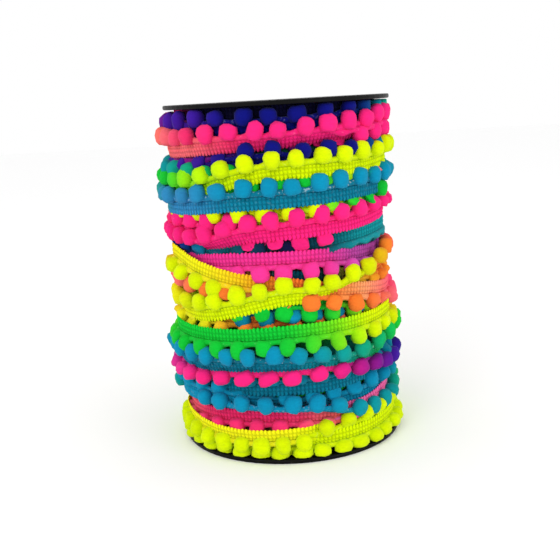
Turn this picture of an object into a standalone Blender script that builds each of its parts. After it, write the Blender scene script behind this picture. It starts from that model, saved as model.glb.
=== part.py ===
"""Roll of pompom trim: a knitted tape with pompoms, wound between two flat discs.

Metres, +Z up. The origin is the middle of the lower disc's underside, on which
the roll stands, and the discs share the Z axis. Azimuth 0 is the front, at -Y,
and it grows towards +X.
"""

import math
import random
from collections import namedtuple

import bmesh
import bpy
import numpy as np
from mathutils import Matrix, Vector

MM = 0.001

# Discs
FLANGE_RADIUS = 52.5 * MM
FLANGE_THICKNESS = 2.0 * MM
FLANGE_RIM_ROUND = 0.6 * MM
FLANGE_SIDES = 72
ROLL_HEIGHT = 159.0 * MM
SEAT_GAP = 0.3 * MM

# Winding: the knitted tape lies in ridges, with valleys between the turns. It
# sits a little to one side of the discs' axis.
WINDING_OFFSET = Vector((-1.5 * MM, 0.0, 0.0))
WINDING_BOTTOM = FLANGE_THICKNESS + SEAT_GAP
WINDING_TOP = ROLL_HEIGHT - FLANGE_THICKNESS - SEAT_GAP
TAPE_WIDTH = 4.8 * MM
TAPE_GAP = 0.6 * MM
VALLEY_RADIUS = 43.4 * MM
VALLEY_SLOPE = 0.8 * MM
END_RADIUS = 46.0 * MM
TOP_RIDGE_RADIUS = 46.2 * MM
TOP_RIDGE = (155.2 * MM, 150.8 * MM)
DEEPER_TURN_RADIUS = 48.2 * MM
DEEPER_TURN_MARGIN = 1.0 * MM

# Pompoms: each grows from the tape's shoulder, widens to its belly and narrows
# to its tip, and leans out of the winding.
POMPOMS_A_TURN = 25
COLUMNS = 2 * POMPOMS_A_TURN
SHOULDER_DROP = 1.6 * MM
SHOULDER_DEPTH = 1.4 * MM
POMPOM_LENGTH = 7.4 * MM
POMPOM_WIDTH = 7.8 * MM
POMPOM_DEPTH = 7.0 * MM
POMPOM_LEAN = math.radians(20.0)
POMPOM_SWAY = math.radians(3.0)
POMPOM_REACH = 8.1 * MM
RINGS = ((0.5, 1.0), (1.0, 0.6))
SEED = 11

# The turns that show, from the top down. The side is UP where the pompoms stand
# above the tape and DOWN where they hang below it. The layer is the tape's
# radius, and the rest are the heights of the pompoms' roots, all in mm: at five
# azimuths across the front, and at the back.
UP = 1
DOWN = -1
AZIMUTHS = (-60, -30, 0, 30, 60, 180)
SMOOTHING = (-14, -7, 0, 7, 14)
Turn = namedtuple("Turn", "side layer far_left left front right far_right back")
TURNS = (
    Turn(UP, 50.2, 142.0, 143.5, 143.2, 144.6, 146.0, 143.0),
    Turn(UP, 50.6, 126.9, 128.4, 130.8, 131.6, 133.6, 129.5),
    Turn(UP, 51.0, 115.6, 117.4, 119.2, 120.0, 120.0, 117.0),
    Turn(UP, 48.6, 103.2, 104.8, 107.0, 108.0, 109.2, 105.4),
    Turn(DOWN, 49.0, 88.0, 89.5, 91.2, 92.6, 95.8, 91.6),
    Turn(UP, 50.4, 72.8, 73.8, 77.2, 79.6, 83.6, 77.0),
    Turn(UP, 50.0, 62.4, 63.0, 66.4, 68.8, 68.4, 66.0),
    Turn(DOWN, 53.4, 58.2, 58.4, 58.8, 58.4, 58.8, 58.4),
    Turn(UP, 53.4, 46.2, 46.2, 46.6, 46.0, 46.6, 46.2),
    Turn(UP, 50.2, 34.8, 34.8, 35.6, 35.4, 35.6, 35.2),
    Turn(UP, 50.2, 24.0, 24.0, 24.2, 22.6, 21.4, 23.4),
    Turn(DOWN, 51.2, 11.0, 10.8, 10.8, 11.0, 11.2, 11.0),
)
# The place in the table of the turn with a deeper turn showing above its tape.
DEEPER_TURN_ABOVE = 4


def clear_scene():
    for item in list(bpy.data.objects):
        bpy.data.objects.remove(item, do_unlink=True)


def make_collection(name):
    collection = bpy.data.collections.new(name)
    bpy.context.scene.collection.children.link(collection)
    return collection


def make_material(name, colour, roughness):
    material = bpy.data.materials.new(name)
    material.use_nodes = True
    shader = material.node_tree.nodes["Principled BSDF"]
    shader.inputs["Base Color"].default_value = (*colour, 1.0)
    shader.inputs["Roughness"].default_value = roughness
    shader.inputs["Metallic"].default_value = 0.0
    return material


def add_flange(name, bottom, collection, material):
    """A flat disc with a rounded rim, standing on the height given."""
    middle = (0.0, 0.0, bottom + 0.5 * FLANGE_THICKNESS)
    bpy.ops.mesh.primitive_cylinder_add(
        vertices=FLANGE_SIDES, radius=FLANGE_RADIUS, depth=FLANGE_THICKNESS, location=middle
    )
    flange = bpy.context.object
    flange.name = name
    for owner in list(flange.users_collection):
        owner.objects.unlink(flange)
    collection.objects.link(flange)
    flange.data.materials.append(material)
    rim = flange.modifiers.new("rounded rim", "BEVEL")
    rim.width = FLANGE_RIM_ROUND
    rim.segments = 2
    rim.limit_method = "ANGLE"
    rim.angle_limit = math.radians(60.0)
    flange.data.shade_smooth()
    flange.data.set_sharp_from_angle(angle=math.radians(40.0))
    return flange


def root_height(turn, azimuth):
    """The height of a turn's pompom roots, smoothed between its named heights."""
    heights = (turn.far_left, turn.left, turn.front, turn.right, turn.far_right, turn.back)
    nearby = [azimuth + step for step in SMOOTHING]
    return float(np.interp(nearby, AZIMUTHS, heights, period=360).mean()) * MM


def tape_edges(azimuth):
    """Each turn's far tape edge, kept clear of the pompoms of the next turn."""
    roots = [root_height(turn, azimuth) for turn in TURNS]
    edges = []
    for place, turn in enumerate(TURNS):
        edge = roots[place] - turn.side * TAPE_WIDTH
        beside = place + turn.side
        if 0 <= beside < len(TURNS):
            if TURNS[beside].side == turn.side:
                limit = roots[beside] + turn.side * POMPOM_REACH
            else:
                limit = 0.5 * (roots[place] + roots[beside] + turn.side * TAPE_GAP)
            edge = turn.side * max(turn.side * edge, turn.side * limit)
        edges.append(edge)
    return roots, edges


def winding_profile(azimuth):
    """The winding's outline at one azimuth, top to bottom, as (radius, height).

    The second list gives the turn whose pompoms grow from the step below each
    point, and None for every other step.
    """
    roots, edges = tape_edges(azimuth)
    outline = [(END_RADIUS, WINDING_TOP)]
    outline += [(TOP_RIDGE_RADIUS, height) for height in TOP_RIDGE]
    grows = [None] * len(outline)
    previous_low = TOP_RIDGE[1]
    previous_is_tape = True
    for place, turn in enumerate(TURNS):
        layer = turn.layer * MM
        shoulder = (layer, roots[place] - turn.side * SHOULDER_DROP)
        root = (layer - SHOULDER_DEPTH, roots[place])
        edge = (layer, edges[place])
        points = [root, shoulder, edge] if turn.side == UP else [edge, shoulder, root]
        high = points[0][1]
        middle = 0.5 * (previous_low + high)
        if place == DEEPER_TURN_ABOVE:
            outline += [(VALLEY_RADIUS, previous_low - 0.5 * DEEPER_TURN_MARGIN)]
            outline += [(DEEPER_TURN_RADIUS, previous_low - DEEPER_TURN_MARGIN)]
            outline += [(DEEPER_TURN_RADIUS, high + DEEPER_TURN_MARGIN)]
            outline += [(VALLEY_RADIUS, high + 0.5 * DEEPER_TURN_MARGIN)]
        elif previous_is_tape and turn.side == DOWN:
            outline += [(DEEPER_TURN_RADIUS, middle)]
        elif previous_is_tape:
            outline += [(VALLEY_RADIUS, previous_low - VALLEY_SLOPE)]
        else:
            outline += [(VALLEY_RADIUS, middle)]
        grows += [None] * (len(outline) - len(grows))
        outline += points
        grows += [place, None, None] if turn.side == UP else [None, place, None]
        previous_low = points[2][1]
        previous_is_tape = turn.side == UP
    outline += [(END_RADIUS, WINDING_BOTTOM)]
    grows += [None]
    return outline, grows


def azimuth_of(point):
    return math.degrees(math.atan2(point.x, -point.y))


def grow_pompom(bm, face, turn, sway):
    """Extrudes one pompom from its root face, a ring at a time."""
    base = face.calc_center_median()
    outward = Vector((base.x - WINDING_OFFSET.x, base.y - WINDING_OFFSET.y, 0.0)).normalized()
    upward = Vector((0.0, 0.0, turn.side))
    depth = math.cos(POMPOM_LEAN) * outward - math.sin(POMPOM_LEAN) * upward
    swayed = Matrix.Rotation(sway, 3, depth)
    axis = swayed @ (math.sin(POMPOM_LEAN) * outward + math.cos(POMPOM_LEAN) * upward)
    across = swayed @ outward.cross(upward)
    for along, scale in RINGS:
        face = bmesh.ops.extrude_discrete_faces(bm, faces=[face])["faces"][0]
        middle = face.calc_center_median()
        centre = base + along * POMPOM_LENGTH * axis
        for vert in face.verts:
            offset = vert.co - middle
            sideways = math.copysign(0.5 * scale * POMPOM_WIDTH, offset.dot(across))
            outwards = math.copysign(0.5 * scale * POMPOM_DEPTH, offset.dot(depth))
            vert.co = centre + sideways * across + outwards * depth


def unit_winding(bm, levels):
    """A cylinder of unit radius, its wall cut into steps of unit height."""
    bmesh.ops.create_cone(
        bm, cap_ends=True, segments=COLUMNS, radius1=1.0, radius2=1.0, depth=levels - 1
    )
    upright = [edge for edge in bm.edges if abs(edge.verts[0].co.z - edge.verts[1].co.z) > 0.5]
    bmesh.ops.subdivide_edges(bm, edges=upright, cuts=levels - 2)


def pompom_faces(bm, grows):
    """Every second face of each turn's root step, staggered from turn to turn."""
    chosen = []
    for face in bm.faces:
        if abs(face.normal.z) > 0.5:
            continue
        middle = face.calc_center_median()
        place = grows[int(0.5 * (len(grows) - 1) - middle.z)]
        column = int(math.floor(azimuth_of(middle) * COLUMNS / 360.0)) % COLUMNS
        if place is not None and (column + place) % 2 == 0:
            chosen.append((face, TURNS[place]))
    return chosen


def shape_winding(bm, levels):
    """Moves the unit cylinder's points onto the winding's outline."""
    outlines = {}
    for vert in bm.verts:
        azimuth = round(azimuth_of(vert.co), 3)
        if azimuth not in outlines:
            outlines[azimuth] = winding_profile(azimuth)[0]
        level = round(0.5 * (levels - 1) - vert.co.z)
        radius, height = outlines[azimuth][level]
        around = Matrix.Rotation(math.radians(azimuth), 3, "Z")
        vert.co = WINDING_OFFSET + around @ Vector((0.0, -radius, height))


def add_wound_trim(name, collection, material):
    """The wound tapes as ridges round one solid, and the pompoms on them."""
    _, grows = winding_profile(0.0)
    bm = bmesh.new()
    unit_winding(bm, len(grows))
    roots = pompom_faces(bm, grows)
    shape_winding(bm, len(grows))
    spread = random.Random(SEED)
    for face, turn in roots:
        grow_pompom(bm, face, turn, spread.uniform(-POMPOM_SWAY, POMPOM_SWAY))
    bmesh.ops.recalc_face_normals(bm, faces=bm.faces)
    mesh = bpy.data.meshes.new(name)
    bm.to_mesh(mesh)
    bm.free()
    mesh.materials.append(material)
    mesh.shade_smooth()
    mesh.set_sharp_from_angle(angle=math.radians(40.0))
    trim = bpy.data.objects.new(name, mesh)
    collection.objects.link(trim)
    return trim


clear_scene()
roll = make_collection("pompom_trim_roll")
black_plastic = make_material("black plastic", (0.008, 0.008, 0.007), 0.35)
pink_yarn = make_material("pink yarn", (0.85, 0.04, 0.22), 0.95)
add_flange("flange_bottom", 0.0, roll, black_plastic)
add_flange("flange_top", ROLL_HEIGHT - FLANGE_THICKNESS, roll, black_plastic)
add_wound_trim("wound_trim", roll, pink_yarn)
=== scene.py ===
import math
from collections import namedtuple

import bmesh
import bpy
import numpy as np
from mathutils import Matrix, Vector


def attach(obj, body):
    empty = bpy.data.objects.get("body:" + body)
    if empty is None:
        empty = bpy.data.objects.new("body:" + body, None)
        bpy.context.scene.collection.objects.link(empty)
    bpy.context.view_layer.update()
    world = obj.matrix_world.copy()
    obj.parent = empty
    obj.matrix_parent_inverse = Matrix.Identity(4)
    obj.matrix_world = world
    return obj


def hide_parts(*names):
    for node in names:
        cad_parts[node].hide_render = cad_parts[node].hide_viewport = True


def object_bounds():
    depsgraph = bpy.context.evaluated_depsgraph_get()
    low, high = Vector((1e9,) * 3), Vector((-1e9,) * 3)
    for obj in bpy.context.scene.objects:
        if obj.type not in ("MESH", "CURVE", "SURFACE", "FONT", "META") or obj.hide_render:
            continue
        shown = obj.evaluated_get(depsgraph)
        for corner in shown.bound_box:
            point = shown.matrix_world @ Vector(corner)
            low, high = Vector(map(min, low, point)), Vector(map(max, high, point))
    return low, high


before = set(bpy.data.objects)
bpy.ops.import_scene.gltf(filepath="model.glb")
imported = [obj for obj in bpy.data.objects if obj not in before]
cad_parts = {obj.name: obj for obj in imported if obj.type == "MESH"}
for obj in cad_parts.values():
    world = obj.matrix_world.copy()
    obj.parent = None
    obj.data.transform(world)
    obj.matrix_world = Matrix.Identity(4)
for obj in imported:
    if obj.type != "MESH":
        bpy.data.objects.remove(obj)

cad_low, cad_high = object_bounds()


# ---------------------------------------------------------------- Discs
# Two thin discs of black injection-moulded plastic hold the roll at its ends.
# They are cut flat with a rounded rim, and carry fine scuffs from handling.

DEEP_BLACK = (0.0015, 0.0015, 0.0015, 1)
SCUFFED_BLACK = (0.004, 0.004, 0.0038, 1)


def new_material(name):
    """A material with its shader, and helpers to add nodes and links to it."""
    material = bpy.data.materials.new(name)
    material.use_nodes = True
    tree = material.node_tree
    shader = tree.nodes["Principled BSDF"]

    def add(kind, **settings):
        node = tree.nodes.new(kind)
        for key, value in settings.items():
            if hasattr(node, key):
                setattr(node, key, value)
            else:
                node.inputs[key.replace("_", " ")].default_value = value
        return node

    return material, shader, add, tree.links.new


def moulded_plastic():
    material, shader, add, link = new_material("black moulded plastic")
    place = add("ShaderNodeTexCoord").outputs["Object"]
    scuffs = add("ShaderNodeTexNoise", Scale=90.0, Detail=6.0, Roughness=0.65)
    link(place, scuffs.inputs["Vector"])
    wear = add("ShaderNodeValToRGB")
    whole, worn = wear.color_ramp.elements
    whole.position, whole.color = 0.35, DEEP_BLACK
    worn.position, worn.color = 0.75, SCUFFED_BLACK
    link(scuffs.outputs["Fac"], wear.inputs["Fac"])
    link(wear.outputs["Color"], shader.inputs["Base Color"])
    gloss = add("ShaderNodeMapRange", To_Min=0.32, To_Max=0.5)
    link(scuffs.outputs["Fac"], gloss.inputs["Value"])
    link(gloss.outputs["Result"], shader.inputs["Roughness"])
    grain = add("ShaderNodeTexNoise", Scale=1400.0, Detail=3.0)
    link(place, grain.inputs["Vector"])
    bump = add("ShaderNodeBump", Strength=0.25, Distance=0.00006)
    link(grain.outputs["Fac"], bump.inputs["Height"])
    link(bump.outputs["Normal"], shader.inputs["Normal"])
    shader.inputs["Specular IOR Level"].default_value = 0.09
    return material


black_plastic = moulded_plastic()
for disc in ("flange_bottom", "flange_top"):
    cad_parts[disc].material_slots[0].material = black_plastic


# ---------------------------------------------------------------- Knitted tape
# The trim's tape is warp-knitted acrylic: close ribs across its width, each of three
# stitches, over a thin ground. It is wound to and fro, so turns cross and cover others.

MM = 0.001
ROLL_HEIGHT = round((cad_high[2] - cad_low[2]) / MM)
WINDING_MIDDLE = np.array([-1.5, 0.0]) * MM
UP, DOWN = 1, -1

# A turn is named at these azimuths, in degrees to the right of the front, and eased
# between them over some degrees.
HEIGHT_AT = (-70, -45, -20, 0, 20, 45, 70, 180)
LAYER_AT = (-60, 0, 60, 180)
DYE_AT = (-70, -45, -20, 0, 20, 45, 70, 120, 180, 240)
HEIGHT_EASE, LAYER_EASE, DYE_EASE = 4, 7, 3

Turn = namedtuple("Turn", (
    "name side layers first heights dyes specks lift lean pompoms drop plump tilt tufts"
))


def turn(name, side, layers, first, heights, dyes, specks=0.15, lift=0.7, lean=0,
         pompoms=None, drop=0, plump=1, tilt=0, tufts=None):
    """One turn. A single layer or lean stands for the same one all the way round."""
    layers, lean = (
        value if isinstance(value, tuple) else (value,) * len(LAYER_AT) for value in (layers, lean)
    )
    return Turn(name, side, layers, first, heights, dyes, specks, lift, lean,
                pompoms, drop, plump, tilt, tufts or dyes)


# The turns that show, from the top down, in mm and degrees. Side: UP where the pompoms
# stand above the tape. Layers: the seam's distance from the middle, at LAYER_AT.
# First: the azimuth of one pompom. Heights: the seam's, at HEIGHT_AT. Dyes: at DYE_AT.
# Specks: how many pale ones the band has. Lift: how far the pompoms stand out. Lean:
# how far the tape's free edge leans in, at LAYER_AT. Pompoms: how many, where they are
# not at the usual pitch. Drop: how much further from the seam they hang. Plump: their
# length against the usual. Tilt: how far askew they hang. Tufts: their dyes, where
# they are not the tape's.
TURNS = [
    # A0's K dyes paint the shadow under the top disc.
    turn("A0", DOWN, 46, 0, (152,) * 8, "PKKKKKKUUK"),
    turn("A", UP, (47.8, 47.8, 47.8, 50), -1.1,
         (147.5, 149.2, 149.3, 149.1, 149.8, 150.6, 151.3, 149), "UUNNNNTGYP",
         specks=0.25, pompoms=26),
    turn("B", UP, (50.2, 50.2, 50.2, 52.5), 2,
         (141, 142.3, 143.1, 143.3, 144.3, 145.1, 147.5, 144.5), "RRSPPPPPPO",
         lean=(10, 32, 40, 25), tilt=-12, tufts="RSPPPPPPPO"),
    turn("C1", DOWN, (48, 44.5, 53.5, 45), -2.5,
         (136.3, 136.2, 138.6, 142, 146, 145.6, 148, 140), "MMUNPPPPVU",
         lift=-1.5, lean=(0, 0, 75, 37.5)),
    turn("C2", UP, (46.6, 48.9, 48.9, 51), -0.6,
         (129, 130.5, 134.4, 135, 134.4, 132.8, 133, 132.5), "UUNNNNTTGC", pompoms=26),
    turn("D", UP, (51.2, 51.2, 51.2, 52.5), -1.7,
         (123, 123.5, 129.2, 131.6, 131.7, 131.5, 133, 129), "GLYYYYYYYG", pompoms=30),
    turn("D2", UP, (50.5, 46, 46, 46), 0.5,
         (128, 126.5, 125.8, 126, 126, 127, 129, 128), "TEGGGGGGGT"),
    turn("E0", UP, (47.5, 47.5, 49, 48), 1,
         (121, 120.5, 120.3, 120.3, 120.8, 121, 120.8, 120.5), "GGGGGYXOLG"),
    turn("E", UP, (52, 52, 50.5, 52.5), -4.2,
         (116.2, 117.2, 119.3, 119.7, 120.1, 121, 121, 118), "DDZZZZZTGG",
         specks=0.9, tufts="DDCCCCCTGG"),
    turn("E2", UP, (45.5, 44, 48.4, 45), 2.2,
         (112, 111, 110.5, 110.5, 111, 112.8, 113.5, 112), "YYYYLGGGYY", lift=2.7),
    turn("F0", UP, (47.5, 47.8, 47, 51), 5.5,
         (109, 108.6, 108.6, 108.4, 109.3, 110, 109, 109), "YYYYYYYYYP"),
    turn("F", UP, (49.5, 49.5, 49.5, 52.5), -3.5,
         (97.5, 97.9, 104.1, 105.6, 106.4, 107.3, 109, 104.5), "PPPPPPPPVP",
         lean=(70, 0, 0, 35)),
    turn("F1", UP, (49.5, 46, 46, 45), -0.6,
         (105.3, 105.3, 104.5, 103, 103, 103, 104, 104), "PPPPPPPPPO"),
    turn("G0", DOWN, (46.5, 47.5, 46.2, 49), -3,
         (107, 107.4, 103.3, 102.7, 102.3, 108.2, 111, 104), "PPPPPLLPPP", tufts="PPPPPPLPPP"),
    turn("G1", DOWN, (46, 46.3, 49, 52.5), 2,
         (92, 92.5, 93, 93.5, 95.2, 96.8, 98, 96), "NTWWWTTTBN", lift=-6),
    turn("H0", UP, (47, 46, 46, 45), 2.5, (91.5, 91.5) + (92.5,) * 6, "NZWKKTTTBN"),
    turn("H", DOWN, (47.5, 49.5, 47, 48.5), 1.5,
         (87, 88, 89.7, 89.9, 89.6, 87.8, 86.8, 89), "HHHHHVVUVH"),
    turn("K", DOWN, (51.5, 48.9, 51, 52.5), 2.5,
         (91, 84.8, 80.3, 79, 75, 72, 68.5, 78), "QQAOOJRPSO", tufts="YYYOOORPSO"),
    turn("K0", DOWN, (48.5, 46.5, 47.8, 51), -5,
         (84.6, 81.6, 82, 81, 80, 79.4, 79, 82), "ROOZWAOAQO"),
    turn("J", UP, (50.5, 51, 51.5, 45), 1.3,
         (68, 68.4, 73, 77.6, 76.2, 80.4, 87, 80), "QYYYYYOPRA", lean=(6, 10, 70, 30)),
    turn("L0", DOWN, (46.5, 48, 47.5, 52), 1.5,
         (70, 71, 72.7, 72.3, 70.3, 69.3, 68, 70), "YLGGGLYLGL"),
    turn("L1", DOWN, (46.5, 46, 45.8, 45), 4,
         (69, 69, 68.6, 69.5, 70.5, 70, 70, 69), "UZZCCCCTGU"),
    turn("M0", DOWN, (49.5, 45.2, 45, 48), 5,
         (65.3, 64.4, 63.4, 64.4, 64.8, 64.6, 64.6, 65), "QQOOORPPRO"),
    turn("M", DOWN, (53.5, 52.5, 53, 45), 1.5,
         (55.8, 55.8, 56.6, 58, 58.2, 58.6, 59.5, 57.5), "GGGGIYYOYL", lift=0.2),
    turn("N", UP, (53, 52.5, 52.5, 51), 5.7,
         (45.2, 45.3, 47, 46.5, 45.8, 44.7, 50, 45.5), "CZZZTEGLGT",
         specks=0.9, lift=1.0, lean=20, tufts="CCCCTEGLGT"),
    turn("O", DOWN, (51, 51.3, 51, 52), 1.7,
         (40, 40.8, 42.5, 42.7, 43.3, 43, 40, 42.5), "HPPPPMUNUM",
         lift=1.6, lean=70, plump=0.85, tilt=20),
    turn("Q0", UP, (48, 49, 49, 48), 5.5,
         (35.5, 35.8, 36, 36.2, 36.2, 37.2, 38, 36), "ZZZZZZZTGC", specks=0.3),
    turn("Q1", UP, (46, 46, 46, 45), 7.5, (34.5,) * 8, "CCGGGGGYYG"),
    turn("Q2", UP, (52, 45, 46, 48.5), 0,
         (30, 30, 28.5, 26.5, 24, 23.5, 24, 29), "CCCCCCCTGC", lift=-1),
    turn("R0", UP, (50.5, 50.5, 50.5, 52.5), 1,
         (25.4, 24.3, 24.4, 23.6, 22.6, 14.5, 16, 22), "CCCCCTTGLG", specks=0.6, lean=75),
    turn("R1", UP, (45.5, 45.5, 49, 51.5), -1,
         (26, 26, 26, 25.5, 26, 26.5, 27, 26), "CCCCCCCGGC"),
    turn("R2", DOWN, (43.8, 45, 50.3, 44), 0,
         (24, 24, 24, 21, 18, 17.4, 20.8, 22), "PPPPXXXCUP", lift=-3.5),
    turn("R", DOWN, (48.5, 48.5, 47.5, 45), -4.5,
         (15.5, 17, 18.4, 18.2, 17.2, 15.2, 15.6, 18), "RSSSRFPPVP", drop=-1.5),
    turn("S1", DOWN, (50, 51.5, 38, 45), -4,
         (12.5, 10.2, 9.9, 10.6, 10.8, 10.5, 11, 11), "QQQQYYYYGY",
         lean=-12, pompoms=30, drop=-1.8, tufts="YYYYYYYYGY"),
    turn("S2", UP, (46, 48.6, 50.3, 50), 7.5,
         (11, 9, 7.5, 7.6, 11.5, 12, 12.3, 12), "YYYYYYYYLY"),
    turn("T", DOWN, (48, 48.3, 52.3, 51), -4.8,
         (7.2, 7.2, 7, 6.9, 6.6, 7.2, 8.5, 8), "YYYYYYYYYY", pompoms=34, plump=0.84),
]

# K, a near-black navy, and W, a dark teal, are painted shade: dyes darkened for turns that lie in
# shadow, under the top disc and deep among others.
DYES = {
    "P": "#FF2682", "S": "#F83070", "R": "#FF7078", "H": "#F83898", "X": "#FF70B0", "F": "#F04020",
    "O": "#FF8030", "J": "#FFAC70", "A": "#FACC1C", "Q": "#F4F018", "Y": "#DCF400", "L": "#A8F010",
    "I": "#60DC20", "G": "#10C838", "E": "#10A878", "T": "#0C98A0", "Z": "#087C98", "W": "#0B4C5E",
    "C": "#0890B8", "D": "#3088BC", "B": "#1A5FB4", "N": "#0D127C", "U": "#42189C", "V": "#CC54B8",
    "M": "#98188C", "K": "#14123C",
}


def web_colour(dye):
    return [int(DYES[dye][i:i + 2], 16) / 255 for i in (1, 3, 5)]


def linear(web):
    """Linear colours, as the shader wants them, from web colours."""
    web = np.asarray(web)
    return np.where(web <= 0.04045, web / 12.92, ((web + 0.055) / 1.055) ** 2.4)


def around(azimuth, at, values, ease):
    """A turn's value at some azimuths, in degrees, eased between those it is named at."""
    near = [azimuth + step * ease for step in (-2, -1, 0, 1, 2)]
    return np.mean([np.interp(place, at, values, period=360) for place in near], axis=0)


# Behind, a turn wanders up and down by two waves: how far, how often on its way round,
# and how much their start shifts with its height. It begins where the azimuth's cosine
# has the higher of these values, and is whole at the lower.
WANDERS = ((1.3, 2, 0.035), (0.7, 5, -0.02))
BEHIND = (-0.35, 0.25)


def seam_height(t, azimuth):
    """Where the seam between tape and band lies. It wanders behind, away from the discs."""
    height = around(azimuth, HEIGHT_AT, t.heights, HEIGHT_EASE)
    turned = np.radians(np.asarray(azimuth, float))
    behind = np.interp(np.cos(turned), BEHIND, (1.0, 0.0))
    room = np.clip(height * (ROLL_HEIGHT - height) / (0.5 * ROLL_HEIGHT) ** 2, 0, 1)
    wander = sum(far * np.sin(often * turned + shift * height) for far, often, shift in WANDERS)
    return (height + behind * room * wander) * MM


def layer_radius(t, azimuth):
    return around(azimuth, LAYER_AT, t.layers, LAYER_EASE) * MM


def tape_lean(t, azimuth):
    """How far the tape's free edge leans in, in radians."""
    return np.radians(around(azimuth, LAYER_AT, t.lean, LAYER_EASE))


MEASURE_STEP = 3.0


def turn_length(t):
    azimuth = np.arange(0.0, 360.0, MEASURE_STEP)
    radius, height = layer_radius(t, azimuth), seam_height(t, azimuth)
    ahead_radius, ahead_height = np.roll(radius, -1), np.roll(height, -1)
    step = math.radians(MEASURE_STEP) * 0.5 * (radius + ahead_radius)
    return float(np.sum(np.hypot(step, ahead_height - height)))


def dye_colour(dyes, azimuth):
    """A turn's dye at some azimuths, as rows of linear red, green and blue."""
    stops = np.array([web_colour(dye) for dye in dyes])
    hues = [around(azimuth, DYE_AT, stops[:, i], DYE_EASE) for i in range(3)]
    return linear(np.stack(hues, axis=-1))


PATH_STEPS = 96


def turn_path(t, sink):
    """A closed curve along a turn's seam, sunk a little below the tape's face."""
    curve = bpy.data.curves.new("path_" + t.name, "CURVE")
    curve.dimensions = "3D"
    curve.twist_mode = "Z_UP"
    azimuth = t.first + np.arange(PATH_STEPS) * 360 / PATH_STEPS
    radius = layer_radius(t, azimuth) - sink
    turned = np.radians(azimuth)
    points = np.stack([
        WINDING_MIDDLE[0] + radius * np.sin(turned),
        WINDING_MIDDLE[1] - radius * np.cos(turned),
        seam_height(t, azimuth),
        np.ones(PATH_STEPS),
    ], axis=-1)
    line = curve.splines.new("POLY")
    line.points.add(PATH_STEPS - 1)
    line.points.foreach_set("co", points.ravel())
    line.use_cyclic_u = True
    path = bpy.data.objects.new("path_" + t.name, curve)
    bpy.context.scene.collection.objects.link(path)
    return path


def azimuths(co):
    x, y = (co[:, :2] - WINDING_MIDDLE).T
    return np.degrees(np.arctan2(x, -y))


def coordinates(mesh):
    co = np.empty(len(mesh.vertices) * 3)
    mesh.vertices.foreach_get("co", co)
    return co.reshape(-1, 3)


def point_values(mesh, name, fallback):
    """A point attribute's values, or the fallback where the mesh has none."""
    values = np.full(len(mesh.vertices), float(fallback))
    if name in mesh.attributes:
        found = np.empty(len(mesh.vertices), np.float32)
        mesh.attributes[name].data.foreach_get("value", found)
        values = found.astype(float)
        mesh.attributes.remove(mesh.attributes[name])
    return values


def store_dye(mesh, colour, specks):
    """Gives each point its dye. Alpha holds how many pale specks the yarn has."""
    rgba = np.empty((len(mesh.vertices), 4), np.float32)
    rgba[:, :3] = colour
    rgba[:, 3] = specks
    layer = mesh.attributes.new("dye", "FLOAT_COLOR", "POINT")
    layer.data.foreach_set("color", rgba.ravel())


# Painted shade: a turn's dyes darken from the open radius in to the buried one, where outer turns
# shade it.
BURIED_RADIUS, OPEN_RADIUS = 45, 49.5
BURIED_PAINTED_SHADE = 0.6


def dye(mesh, dyes, shade, specks):
    """Dyes a turn's mesh by azimuth, with painted shade that darkens it where it lies buried."""
    co = coordinates(mesh)
    colour = dye_colour(dyes, azimuths(co))
    radius = np.hypot(*(co[:, :2] - WINDING_MIDDLE).T)
    painted_shade = np.interp(radius / MM, (BURIED_RADIUS, OPEN_RADIUS), (BURIED_PAINTED_SHADE, 1.0))
    depth = point_values(mesh, "shade", 1.0) * shade * painted_shade
    store_dye(mesh, np.clip(colour * depth[:, None], 0, 1), specks)


def new_tree(name, inputs):
    """A node tree that makes a mesh, with its named inputs, and a way to add nodes."""
    tree = bpy.data.node_groups.new(name, "GeometryNodeTree")
    tree.interface.new_socket("Geometry", in_out="INPUT", socket_type="NodeSocketGeometry")
    tree.interface.new_socket("Geometry", in_out="OUTPUT", socket_type="NodeSocketGeometry")
    for label, kind in inputs.items():
        tree.interface.new_socket(label, in_out="INPUT", socket_type="NodeSocket" + kind)
    given = tree.nodes.new("NodeGroupInput").outputs
    made = tree.nodes.new("NodeGroupOutput").inputs

    def add(kind, links=None, **settings):
        node = tree.nodes.new(kind)
        for key, value in settings.items():
            setattr(node, key, value)
        for key, value in (links or {}).items():
            socket = node.inputs[key]
            if isinstance(value, bpy.types.NodeSocket):
                tree.links.new(value, socket)
            else:
                socket.default_value = value
        return node.outputs

    return tree, given, made, add


def shapes_of(add, given, *names):
    """The shapes of the objects that a tree is given."""
    return [add("GeometryNodeObjectInfo", {"Object": given[name]})["Geometry"] for name in names]


def rotated(add, rotation, angles):
    """Turns a rotation by some angles about its own axes."""
    by = add("FunctionNodeEulerToRotation", {"Euler": angles})["Rotation"]
    return add("FunctionNodeRotateRotation", {"Rotation": rotation, "Rotate By": by},
               rotation_space="LOCAL")["Rotation"]


def finish_tree(tree, add, made, geometry, given):
    """Every tree ends by making its instances real and giving them their material."""
    real = add("GeometryNodeRealizeInstances", {"Geometry": geometry})
    done = add("GeometryNodeSetMaterial", {"Geometry": real[0], "Material": given["Material"]})
    tree.links.new(done[0], made["Geometry"])


def grow(tree, values):
    """Runs a tree on an empty mesh, and returns what it makes as a plain mesh."""
    host = bpy.data.objects.new("grown", bpy.data.meshes.new("grown"))
    bpy.context.scene.collection.objects.link(host)
    modifier = host.modifiers.new("grown", "NODES")
    modifier.node_group = tree
    for item in tree.interface.items_tree:
        if item.in_out == "INPUT" and item.name in values:
            modifier[item.identifier] = values[item.name]
    bpy.context.view_layer.update()
    graph = bpy.context.evaluated_depsgraph_get()
    mesh = bpy.data.meshes.new_from_object(host.evaluated_get(graph))
    bpy.data.objects.remove(host)
    return mesh


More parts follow.
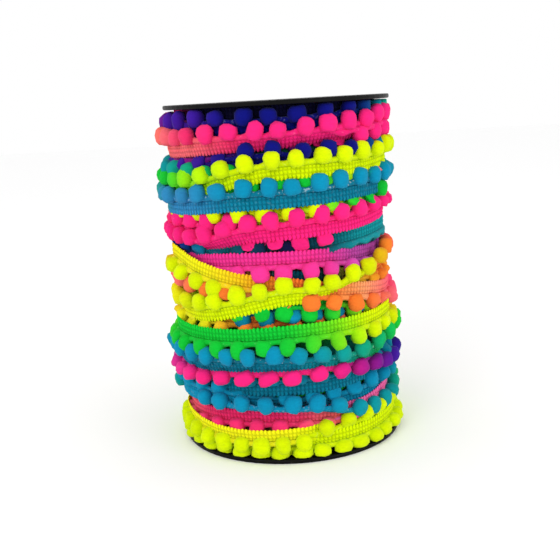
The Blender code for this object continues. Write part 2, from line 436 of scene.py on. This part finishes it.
def one_piece(name, meshes):
    """Joins meshes into one shown piece of the wound trim."""
    parts = []
    for mesh in meshes:
        part = bpy.data.objects.new(name, mesh)
        bpy.context.scene.collection.objects.link(part)
        parts.append(part)
    with bpy.context.temp_override(
        active_object=parts[0], selected_editable_objects=parts, object=parts[0]
    ):
        bpy.ops.object.join()
    piece = parts[0]
    piece.name = name
    piece.data.shade_smooth()
    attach(piece, "root")
    return piece


RIB_SINK = 0.5 * MM
RIB_PITCH = 1.83 * MM
RIB_FOOT = -0.15
RIB_CROWN = 0.55        # how wide a rib's top is against its foot
STITCH_LEANS = (-0.10, 0.16, -0.10)
# In the shade column, the troughs between the rows of stitches and the seam are painted darker, as
# painted shade; the stitches grow lighter towards the free edge.
RIB_STITCHES = (        # across the tape from the seam, half width, height, shade
    (0.10, 0.78, 0.15, 0.86),
    (0.75, 0.88, 0.36, 0.97),
    (1.35, 0.66, 0.21, 0.72),
    (2.00, 0.88, 0.42, 1.00),
    (2.70, 0.85, 0.42, 0.99),
    (3.25, 0.65, 0.22, 0.73),
    (3.95, 0.87, 0.44, 1.00),
    (4.65, 0.80, 0.43, 1.04),
    (5.25, 0.64, 0.38, 1.08),
    (5.75, 0.36, 0.20, 1.12),
)


def knitted_rib():
    """One rib: a closed low ridge of stitches, leaning a little from side to side, each with its
    painted shade.
    """
    bm = bmesh.new()
    # Painted shade per stitch, kept with the pompoms' random tone in one attribute.
    shade = bm.verts.layers.float.new("shade")
    rings = []
    for place, (across, half, high, tone) in enumerate(RIB_STITCHES):
        lean = STITCH_LEANS[place % len(STITCH_LEANS)]
        crown = RIB_CROWN * half
        ring = []
        for along, out in ((-half, RIB_FOOT), (-crown, high), (crown, high), (half, RIB_FOOT)):
            vert = bm.verts.new((out * MM, across * MM, (along + lean) * MM))
            vert[shade] = tone
            ring.append(vert)
        rings.append(ring)
    for ring, following in zip(rings, rings[1:]):
        for i in range(4):
            j = (i + 1) % 4
            bm.faces.new((ring[i], ring[j], following[j], following[i]))
    bm.faces.new(rings[0])
    bm.faces.new(rings[-1])
    bmesh.ops.recalc_face_normals(bm, faces=bm.faces)
    mesh = bpy.data.meshes.new("knitted_rib")
    bm.to_mesh(mesh)
    bm.free()
    rib = bpy.data.objects.new("knitted_rib", mesh)
    bpy.context.scene.collection.objects.link(rib)
    return rib


def profile(name, points, side):
    """A closed outline to sweep along a turn, in mm: out from the tape, then across."""
    curve = bpy.data.curves.new(name, "CURVE")
    curve.dimensions = "3D"
    line = curve.splines.new("POLY")
    line.points.add(len(points) - 1)
    for point, (out, across) in zip(line.points, points):
        point.co = (out * MM, across * side * MM, 0, 1)
    line.use_cyclic_u = True
    outline = bpy.data.objects.new(name, curve)
    bpy.context.scene.collection.objects.link(outline)
    return outline


TAPE_EDGE = 5.4
GROUND_OUTLINE = (
    (0.10, -0.3), (0.12, 2.6), (0.08, TAPE_EDGE),
    (-0.35, TAPE_EDGE), (-0.4, 2.6), (-0.4, -0.3),
)
# Painted shade: the ground between the ribs is dyed darker, for the shade in the gaps.
GROUND_SHADE = 0.72
RIB_LEAST, RIB_MOST = (0.85, 0.97, 0.92), (1.2, 1.03, 1.08)     # how uneven the ribs are


def knitted_tape_tree():
    tree, given, made, add = new_tree("knitted tape", {
        "Path": "Object", "Rib": "Object", "Ground": "Object", "Ribs": "Int",
        "Turned": "Float", "Material": "Material",
    })
    path, rib, ground = shapes_of(add, given, "Path", "Rib", "Ground")
    points = add("GeometryNodeCurveToPoints", {"Curve": path, "Count": given["Ribs"]},
                 mode="COUNT")
    about_path = add("ShaderNodeCombineXYZ", {"X": given["Turned"]})["Vector"]
    facing = rotated(add, points["Rotation"], about_path)
    uneven = add("FunctionNodeRandomValue", {"Min": RIB_LEAST, "Max": RIB_MOST, "Seed": 3},
                 data_type="FLOAT_VECTOR")["Value"]
    ribs = add("GeometryNodeInstanceOnPoints", {
        "Points": points["Points"], "Instance": rib, "Rotation": facing, "Scale": uneven,
    })["Instances"]
    strip = add("GeometryNodeCurveToMesh", {"Curve": path, "Profile Curve": ground})["Mesh"]
    strip = add("GeometryNodeStoreNamedAttribute", {
        "Geometry": strip, "Name": "shade", "Value": GROUND_SHADE,
    }, data_type="FLOAT", domain="POINT")["Geometry"]
    join = tree.nodes.new("GeometryNodeJoinGeometry")
    tree.links.new(ribs, join.inputs["Geometry"])
    tree.links.new(strip, join.inputs["Geometry"])
    finish_tree(tree, add, made, join.outputs["Geometry"], given)
    return tree


PALE_FIBRE = (0.85, 0.9, 0.92, 1)


def yarn(name, fleck, contrast, fibre, fibre_depth, sheen, streak):
    """Dyed acrylic yarn: matt, with a soft sheen, fine fibres, flecks and pale specks."""
    material, shader, add, link = new_material(name)
    place = add("ShaderNodeTexCoord").outputs["Object"]
    stretch = add("ShaderNodeMapping")
    stretch.inputs["Scale"].default_value = (1.0, 1.0, streak)
    link(place, stretch.inputs["Vector"])
    stretched = stretch.outputs["Vector"]
    dyed = add("ShaderNodeAttribute", attribute_name="dye")
    flecks = add("ShaderNodeTexNoise", Scale=fleck, Detail=5.0, Roughness=0.7)
    link(stretched, flecks.inputs["Vector"])
    depth = add("ShaderNodeMapRange", From_Min=0.25, From_Max=0.75,
                To_Min=1.0 - contrast, To_Max=1.0 + 0.5 * contrast)
    link(flecks.outputs["Fac"], depth.inputs["Value"])
    shaded = add("ShaderNodeVectorMath", operation="SCALE")
    link(dyed.outputs["Color"], shaded.inputs[0])
    link(depth.outputs["Result"], shaded.inputs["Scale"])
    specks = add("ShaderNodeTexNoise", Scale=900.0, Detail=2.0)
    link(place, specks.inputs["Vector"])
    pale = add("ShaderNodeMapRange", From_Min=0.56, From_Max=0.74, To_Min=0.0, To_Max=0.42)
    link(specks.outputs["Fac"], pale.inputs["Value"])
    how_pale = add("ShaderNodeMath", operation="MULTIPLY")
    link(pale.outputs["Result"], how_pale.inputs[0])
    link(dyed.outputs["Alpha"], how_pale.inputs[1])
    speckled = add("ShaderNodeMix", data_type="RGBA")
    link(how_pale.outputs["Value"], speckled.inputs["Factor"])
    link(shaded.outputs["Vector"], speckled.inputs["A"])
    speckled.inputs["B"].default_value = PALE_FIBRE
    link(speckled.outputs["Result"], shader.inputs["Base Color"])
    fibres = add("ShaderNodeTexNoise", Scale=fibre, Detail=4.0, Roughness=0.6)
    link(stretched, fibres.inputs["Vector"])
    bump = add("ShaderNodeBump", Strength=0.5, Distance=fibre_depth)
    link(fibres.outputs["Fac"], bump.inputs["Height"])
    link(bump.outputs["Normal"], shader.inputs["Normal"])
    shader.inputs["Roughness"].default_value = 0.95
    shader.inputs["Specular IOR Level"].default_value = 0.06
    shader.inputs["Sheen Weight"].default_value = sheen
    shader.inputs["Sheen Roughness"].default_value = 0.5
    return material


def lean_tape(mesh, t):
    """Turns a tape about its seam, so that its free edge lies further in or out."""
    co = coordinates(mesh)
    azimuth = azimuths(co)
    seam, lean = seam_height(t, azimuth), tape_lean(t, azimuth)
    pivot = layer_radius(t, azimuth) - RIB_SINK
    offset = co[:, :2] - WINDING_MIDDLE
    radius = np.hypot(*offset.T)
    out, across = radius - pivot, (seam - co[:, 2]) * t.side
    leaned = pivot + out * np.cos(lean) - across * np.sin(lean)
    co[:, :2] = WINDING_MIDDLE + offset * (leaned / radius)[:, None]
    co[:, 2] = seam - t.side * (across * np.cos(lean) + out * np.sin(lean))
    mesh.vertices.foreach_set("co", co.ravel())


TAPE_SHADE = 0.98
TAPE_SPECKS = 0.12      # against the band's


def knitted_tape(t):
    mesh = grow(tape_tree, {
        "Path": paths[t.name], "Rib": rib_shape, "Ground": ground_outlines[t.side],
        "Ribs": round(turn_length(t) / RIB_PITCH), "Turned": 0.0 if t.side == UP else math.pi,
        "Material": knitted_yarn,
    })
    lean_tape(mesh, t)
    dye(mesh, t.dyes, TAPE_SHADE, TAPE_SPECKS * t.specks)
    return mesh


knitted_yarn = yarn("knitted tape yarn", fleck=700.0, contrast=0.15, fibre=2600.0,
                    fibre_depth=0.0002, sheen=0.015, streak=1.0)
ground_outlines = {side: profile("ground", GROUND_OUTLINE, side) for side in (UP, DOWN)}
rib_shape = knitted_rib()
tape_tree = knitted_tape_tree()
paths = {t.name: turn_path(t, RIB_SINK) for t in TURNS}

TAPE_PIECES = {
    "knitted_tape_upper": TURNS[:12],
    "knitted_tape_middle": TURNS[12:24],
    "knitted_tape_lower": TURNS[24:],
}
for name, turns in TAPE_PIECES.items():
    piece = one_piece(name, [knitted_tape(t) for t in turns])
    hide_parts("wound_trim")


# ---------------------------------------------------------------- Yarn band
# Beside the tape runs a soft band of brushed acrylic yarn, chained to it along a seam.
# It rises towards each pompom, which it ties off.

POMPOM_PITCH = 10.75 * MM
STEPS_A_POMPOM = 6
BAND_OUTLINE = (
    (-0.30, 0.10), (0.10, 0.12), (0.75, 0.45), (1.15, 1.15), (1.15, 2.00),
    (0.75, 2.75), (0.05, 3.10), (-0.55, 2.90), (-0.80, 1.50), (-0.60, 0.40),
)
BAND_RISE = 0.22
BAND_LUMPS = 0.9 * MM
BAND_SHADE = 0.86


def outward(mesh):
    """Turns a closed mesh's faces outwards if they all point in."""
    bm = bmesh.new()
    bm.from_mesh(mesh)
    inside_out = bm.calc_volume(signed=True) < 0
    bm.free()
    if inside_out:
        mesh.flip_normals()


def lumpy(add, mesh, scale, detail, depth):
    """Pushes a mesh's points about by smooth noise, half the depth each way at most."""
    here = add("GeometryNodeInputPosition")["Position"]
    noise = add("ShaderNodeTexNoise", {"Vector": here, "Scale": scale, "Detail": detail})["Color"]
    push = add("ShaderNodeVectorMath", {0: noise, 1: (0.5, 0.5, 0.5)},
               operation="SUBTRACT")["Vector"]
    push = add("ShaderNodeVectorMath", {0: push, "Scale": depth}, operation="SCALE")["Vector"]
    return add("GeometryNodeSetPosition", {"Geometry": mesh, "Offset": push})["Geometry"]


def yarn_band_tree():
    tree, given, made, add = new_tree("yarn band", {
        "Path": "Object", "Outline": "Object", "Steps": "Int", "Pompoms": "Int",
        "Rise": "Float", "Material": "Material",
    })

    def maths(operation, *values):
        return add("ShaderNodeMath", dict(enumerate(values)), operation=operation)["Value"]

    path, outline = shapes_of(add, given, "Path", "Outline")
    path = add("GeometryNodeResampleCurve", {"Curve": path, "Count": given["Steps"]})["Curve"]
    along = add("GeometryNodeSplineParameter")["Factor"]
    waves = maths("MULTIPLY", given["Pompoms"], 2 * math.pi)
    wave = maths("COSINE", maths("MULTIPLY", along, waves))
    swell = maths("MULTIPLY_ADD", wave, given["Rise"], 1.0)
    band = add("GeometryNodeCurveToMesh", {
        "Curve": path, "Profile Curve": outline, "Scale": swell,
    })["Mesh"]
    band = lumpy(add, band, scale=420.0, detail=2.0, depth=BAND_LUMPS)
    finish_tree(tree, add, made, band, given)
    return tree


def pompom_count(t):
    return t.pompoms or round(turn_length(t) / POMPOM_PITCH)


def yarn_band(t):
    mesh = grow(band_tree, {
        "Path": paths[t.name], "Outline": band_outlines[t.side],
        "Steps": STEPS_A_POMPOM * pompom_count(t), "Pompoms": pompom_count(t),
        "Rise": BAND_RISE, "Material": velvet_yarn,
    })
    outward(mesh)
    dye(mesh, t.dyes, BAND_SHADE, t.specks)
    return mesh


velvet_yarn = yarn("pompom yarn", fleck=420.0, contrast=0.14, fibre=1200.0,
                   fibre_depth=0.0002, sheen=0.04, streak=2.2)
band_outlines = {side: profile("band", BAND_OUTLINE, -side) for side in (UP, DOWN)}
band_tree = yarn_band_tree()
one_piece("yarn_band", [yarn_band(t) for t in TURNS])


# ---------------------------------------------------------------- Pompoms
# A small pompom of cut acrylic pile hangs from the band at every repeat, tied at its
# root: a soft barrel, widest below its middle. Turns laid over it press it flat.

POMPOM_RINGS = (        # distance from the seam and radius, in mm
    (0.3, 2.7), (2.0, 3.6), (4.4, 3.85), (6.3, 3.3), (7.3, 1.9),
)
POMPOM_ROOT, POMPOM_TIP = -0.2, 7.7
POMPOM_SIDES = 12
POMPOM_DEPTH = 0.92     # from front to back, against its breadth


def pompom_shape():
    bm = bmesh.new()
    rings = []
    for across, radius in POMPOM_RINGS:
        ring = []
        for i in range(POMPOM_SIDES):
            turned = 2 * math.pi * i / POMPOM_SIDES
            ring.append(bm.verts.new((
                POMPOM_DEPTH * radius * math.cos(turned) * MM,
                across * MM,
                radius * math.sin(turned) * MM,
            )))
        rings.append(ring)
    for ring, following in zip(rings, rings[1:]):
        for i in range(POMPOM_SIDES):
            j = (i + 1) % POMPOM_SIDES
            bm.faces.new((ring[i], ring[j], following[j], following[i]))
    root = bm.verts.new((0, POMPOM_ROOT * MM, 0))
    tip = bm.verts.new((0, POMPOM_TIP * MM, 0))
    for i in range(POMPOM_SIDES):
        j = (i + 1) % POMPOM_SIDES
        bm.faces.new((rings[0][j], rings[0][i], root))
        bm.faces.new((rings[-1][i], rings[-1][j], tip))
    bmesh.ops.recalc_face_normals(bm, faces=bm.faces)
    mesh = bpy.data.meshes.new("pompom")
    bm.to_mesh(mesh)
    bm.free()
    pompom = bpy.data.objects.new("pompom", mesh)
    bpy.context.scene.collection.objects.link(pompom)
    return pompom


LEAN_LEAST, LEAN_MOST = (-0.20, -0.3, -0.20), (0.20, 0.3, 0.10)
SIZE_LEAST, SIZE_MOST = (0.92, 0.90, 0.90), (1.08, 1.08, 1.10)
TONE_LEAST, TONE_MOST = 0.94, 1.04
POMPOM_LUMPS = 2.0 * MM


def pompom_tree():
    tree, given, made, add = new_tree("pompoms", {
        "Path": "Object", "Pompom": "Object", "Pompoms": "Int", "Turned": "Float",
        "Tilt": "Float", "Lift": "Float", "Drop": "Float", "Plump": "Float", "Seed": "Int",
        "Lowest": "Float", "Highest": "Float", "Material": "Material",
    })

    def varied(least, most, kind):
        """A value that varies from pompom to pompom."""
        return add("FunctionNodeRandomValue", {
            "Min": least, "Max": most, "Seed": given["Seed"],
        }, data_type=kind)["Value"]

    path, pompom = shapes_of(add, given, "Path", "Pompom")
    points = add("GeometryNodeCurveToPoints", {"Curve": path, "Count": given["Pompoms"]},
                 mode="COUNT")
    turned = add("ShaderNodeMath", {0: given["Turned"], 1: given["Tilt"]}, operation="ADD")["Value"]
    about_path = add("ShaderNodeCombineXYZ", {"X": turned})["Vector"]
    facing = rotated(add, points["Rotation"], about_path)
    facing = rotated(add, facing, varied(LEAN_LEAST, LEAN_MOST, "FLOAT_VECTOR"))
    breadth = add("ShaderNodeMath", {0: 1.0, 1: given["Plump"]}, operation="DIVIDE")["Value"]
    build = add("ShaderNodeCombineXYZ", {"X": 1.0, "Y": given["Plump"], "Z": breadth})["Vector"]
    size = add("ShaderNodeVectorMath", {
        0: varied(SIZE_LEAST, SIZE_MOST, "FLOAT_VECTOR"), 1: build,
    }, operation="MULTIPLY")["Vector"]
    hung = add("GeometryNodeInstanceOnPoints", {
        "Points": points["Points"], "Instance": pompom, "Rotation": facing, "Scale": size,
    })["Instances"]
    shift = add("ShaderNodeCombineXYZ", {"X": given["Lift"], "Y": given["Drop"]})["Vector"]
    hung = add("GeometryNodeTranslateInstances", {
        "Instances": hung, "Translation": shift,
    })["Instances"]
    hung = add("GeometryNodeStoreNamedAttribute", {
        "Geometry": hung, "Name": "shade", "Value": varied(TONE_LEAST, TONE_MOST, "FLOAT"),
    }, data_type="FLOAT", domain="INSTANCE")["Geometry"]
    real = add("GeometryNodeRealizeInstances", {"Geometry": hung})["Geometry"]
    real = lumpy(add, real, scale=240.0, detail=1.0, depth=POMPOM_LUMPS)
    here = add("GeometryNodeInputPosition")["Position"]
    xyz = add("ShaderNodeSeparateXYZ", {"Vector": here})
    level = add("ShaderNodeClamp", {
        "Value": xyz["Z"], "Min": given["Lowest"], "Max": given["Highest"],
    })["Result"]
    kept = add("ShaderNodeCombineXYZ", {"X": xyz["X"], "Y": xyz["Y"], "Z": level})["Vector"]
    real = add("GeometryNodeSetPosition", {"Geometry": real, "Position": kept})["Geometry"]
    finish_tree(tree, add, made, real, given)
    return tree


TAPE_WIDTH = 5.7 * MM
TAPE_THICKNESS = 0.9 * MM
BAND_WIDTH = 2.4 * MM
SWELL_AGAIN = 1.5       # how fast a pompom swells out again beside what presses it


def press_under(mesh, t):
    """Presses each of a turn's pompoms in where outer turns' tapes lie over it."""
    co = coordinates(mesh)
    azimuth = azimuths(co)
    points = len(pompom.data.vertices)
    whole = np.repeat(azimuths(co.reshape(-1, points, 3).mean(axis=1)), points)
    offset = co[:, :2] - WINDING_MIDDLE
    radius = np.hypot(*offset.T)
    own = layer_radius(t, whole) + t.lift * MM
    pressed = radius
    for over in TURNS:
        if over is t:
            continue
        across = (seam_height(over, azimuth) - co[:, 2]) * over.side
        lean = tape_lean(over, azimuth)
        edge = TAPE_WIDTH * np.cos(lean)
        tape = layer_radius(over, azimuth) - np.tan(lean) * np.clip(across, 0, edge)
        beyond = np.maximum(across - edge, 0) + np.maximum(-BAND_WIDTH - across, 0)
        limit = tape - TAPE_THICKNESS + SWELL_AGAIN * beyond
        middle = layer_radius(over, whole) - 0.5 * TAPE_WIDTH * np.sin(tape_lean(over, whole))
        pressed = np.where(middle > own, np.minimum(pressed, limit), pressed)
    co[:, :2] = WINDING_MIDDLE + offset * (pressed / radius)[:, None]
    mesh.vertices.foreach_set("co", co.ravel())


POMPOM_LIFT = 0.5
POMPOM_ROOM = 2.4       # what the pompoms leave free at each end, for the discs
POMPOM_SHADE = 0.9


def pompoms(place, t):
    mesh = grow(pompoms_tree, {
        "Path": paths[t.name], "Pompom": pompom, "Pompoms": pompom_count(t),
        "Turned": math.pi if t.side == UP else 0.0, "Tilt": math.radians(t.tilt),
        "Plump": float(t.plump), "Lift": (t.lift + POMPOM_LIFT) * MM, "Drop": t.drop * MM,
        "Seed": place, "Lowest": POMPOM_ROOM * MM, "Highest": (ROLL_HEIGHT - POMPOM_ROOM) * MM,
        "Material": velvet_yarn,
    })
    press_under(mesh, t)
    dye(mesh, t.tufts, POMPOM_SHADE, 0.0)
    return mesh


pompom = pompom_shape()
pompoms_tree = pompom_tree()
hung = [pompoms(place, t) for place, t in enumerate(TURNS)]
one_piece("pompoms_upper", hung[:18])
one_piece("pompoms_lower", hung[18:])

outlines = (*ground_outlines.values(), *band_outlines.values())
for guide in (*paths.values(), pompom, rib_shape, *outlines):
    bpy.data.objects.remove(guide)


# ---------------------------------------------------------------- Inner turns
# Under the turns that show, the same trim goes on down to the roll's middle. Its
# outermost buried turns close the gaps between the pompoms, their dyes darkened with painted shade
# for the dark there.

BURIED_ROWS, BURIED_COLUMNS = 92, 96
BURIED_ROOM = 2.1       # what they leave free at each end, for the discs
BURIED_FACE = 44.2
BURIED_RIDGE, RIDGE_PITCH = 0.7, 5.4
BURIED_LEVELS = (0, 18, 30, 46, 54, 64, 85, 110, 125, 150, ROLL_HEIGHT)
BURIED_DYES = "GRTTGGOTGUU"
# Painted shade: how dark the buried turns' dyes are made.
BURIED_TURNS_PAINTED_SHADE = 0.45


def buried_turns():
    """A ridged drum, closed at both ends, dyed by height and darkened with painted shade."""
    span = ROLL_HEIGHT - 2 * BURIED_ROOM
    bm = bmesh.new()
    rings = []
    for row in range(BURIED_ROWS + 1):
        height = BURIED_ROOM + span * row / BURIED_ROWS
        ridge = math.cos(2 * math.pi * row * span / BURIED_ROWS / RIDGE_PITCH)
        radius = (BURIED_FACE + BURIED_RIDGE * ridge) * MM
        turned = [2 * math.pi * i / BURIED_COLUMNS for i in range(BURIED_COLUMNS)]
        rings.append([bm.verts.new((
            WINDING_MIDDLE[0] + radius * math.sin(angle),
            WINDING_MIDDLE[1] - radius * math.cos(angle),
            height * MM,
        )) for angle in turned])
    for low, high in zip(rings, rings[1:]):
        for i in range(BURIED_COLUMNS):
            j = (i + 1) % BURIED_COLUMNS
            bm.faces.new((low[i], low[j], high[j], high[i]))
    bm.faces.new(rings[0][::-1])
    bm.faces.new(rings[-1])
    mesh = bpy.data.meshes.new("buried_turns")
    bm.to_mesh(mesh)
    bm.free()
    height = coordinates(mesh)[:, 2] / MM
    stops = linear([web_colour(dye) for dye in BURIED_DYES])
    hues = [np.interp(height, BURIED_LEVELS, stops[:, i]) for i in range(3)]
    store_dye(mesh, BURIED_TURNS_PAINTED_SHADE * np.stack(hues, axis=-1), 0.0)
    mesh.materials.append(knitted_yarn)
    return mesh


one_piece("inner_turns", [buried_turns()])


# ---------------------------------------------------------------- Studio
# The roll stands on a plain pale floor in a soft white room. Two large round lamps
# light it from the left and the right.

FLOOR_HALF = 3.0
FLOOR_WHITE = (0.98, 0.98, 0.98, 1)


def studio_floor():
    mesh = bpy.data.meshes.new("floor")
    corners = [(-1, -1), (1, -1), (1, 1), (-1, 1)]
    mesh.from_pydata([(x * FLOOR_HALF, y * FLOOR_HALF, 0) for x, y in corners], [], [(0, 1, 2, 3)])
    floor = bpy.data.objects.new("floor", mesh)
    bpy.context.scene.collection.objects.link(floor)
    material, shader, add, link = new_material("floor")
    shader.inputs["Base Color"].default_value = FLOOR_WHITE
    shader.inputs["Roughness"].default_value = 0.9
    mesh.materials.append(material)


studio_floor()

world = bpy.data.worlds.new("studio")
bpy.context.scene.world = world
world.use_nodes = True
world.node_tree.nodes["Background"].inputs["Color"].default_value = (1, 1, 1, 1)
world.node_tree.nodes["Background"].inputs["Strength"].default_value = 1.0

LIT_POINT = Vector((0, 0, 0.08))


def soft_lamp(name, place, size, watts):
    data = bpy.data.lights.new(name, "AREA")
    data.shape = "DISK"
    data.size = size
    data.energy = watts
    lamp = bpy.data.objects.new(name, data)
    lamp.location = place
    lamp.rotation_euler = (LIT_POINT - Vector(place)).to_track_quat("-Z", "Y").to_euler()
    bpy.context.scene.collection.objects.link(lamp)


soft_lamp("key", place=(-0.5, -0.9, 0.7), size=0.6, watts=3.0)
soft_lamp("fill", place=(0.8, -0.7, 0.3), size=0.7, watts=2.0)

CAMERA_AT = Vector((0.0, -0.421860, 0.160175))
PITCH, YAW, ROLL = 0.203674, -0.0060777, -0.0565708
FOCAL_LENGTH = 56.974
forward = Vector((
    math.sin(YAW) * math.cos(PITCH), math.cos(YAW) * math.cos(PITCH), -math.sin(PITCH),
))
level = Vector((math.cos(YAW), -math.sin(YAW), 0))
upright = level.cross(forward)
right = math.cos(ROLL) * level + math.sin(ROLL) * upright
upward = -math.sin(ROLL) * level + math.cos(ROLL) * upright
lens = bpy.data.cameras.new("camera")
lens.lens = FOCAL_LENGTH
lens.sensor_width = 36.0
lens.clip_start = 0.01
camera = bpy.data.objects.new("camera", lens)
camera.matrix_world = Matrix((
    (right.x, upward.x, -forward.x, CAMERA_AT.x),
    (right.y, upward.y, -forward.y, CAMERA_AT.y),
    (right.z, upward.z, -forward.z, CAMERA_AT.z),
    (0, 0, 0, 1),
))
bpy.context.scene.collection.objects.link(camera)
bpy.context.scene.camera = camera
bpy.context.scene.view_settings.view_transform = "Standard"
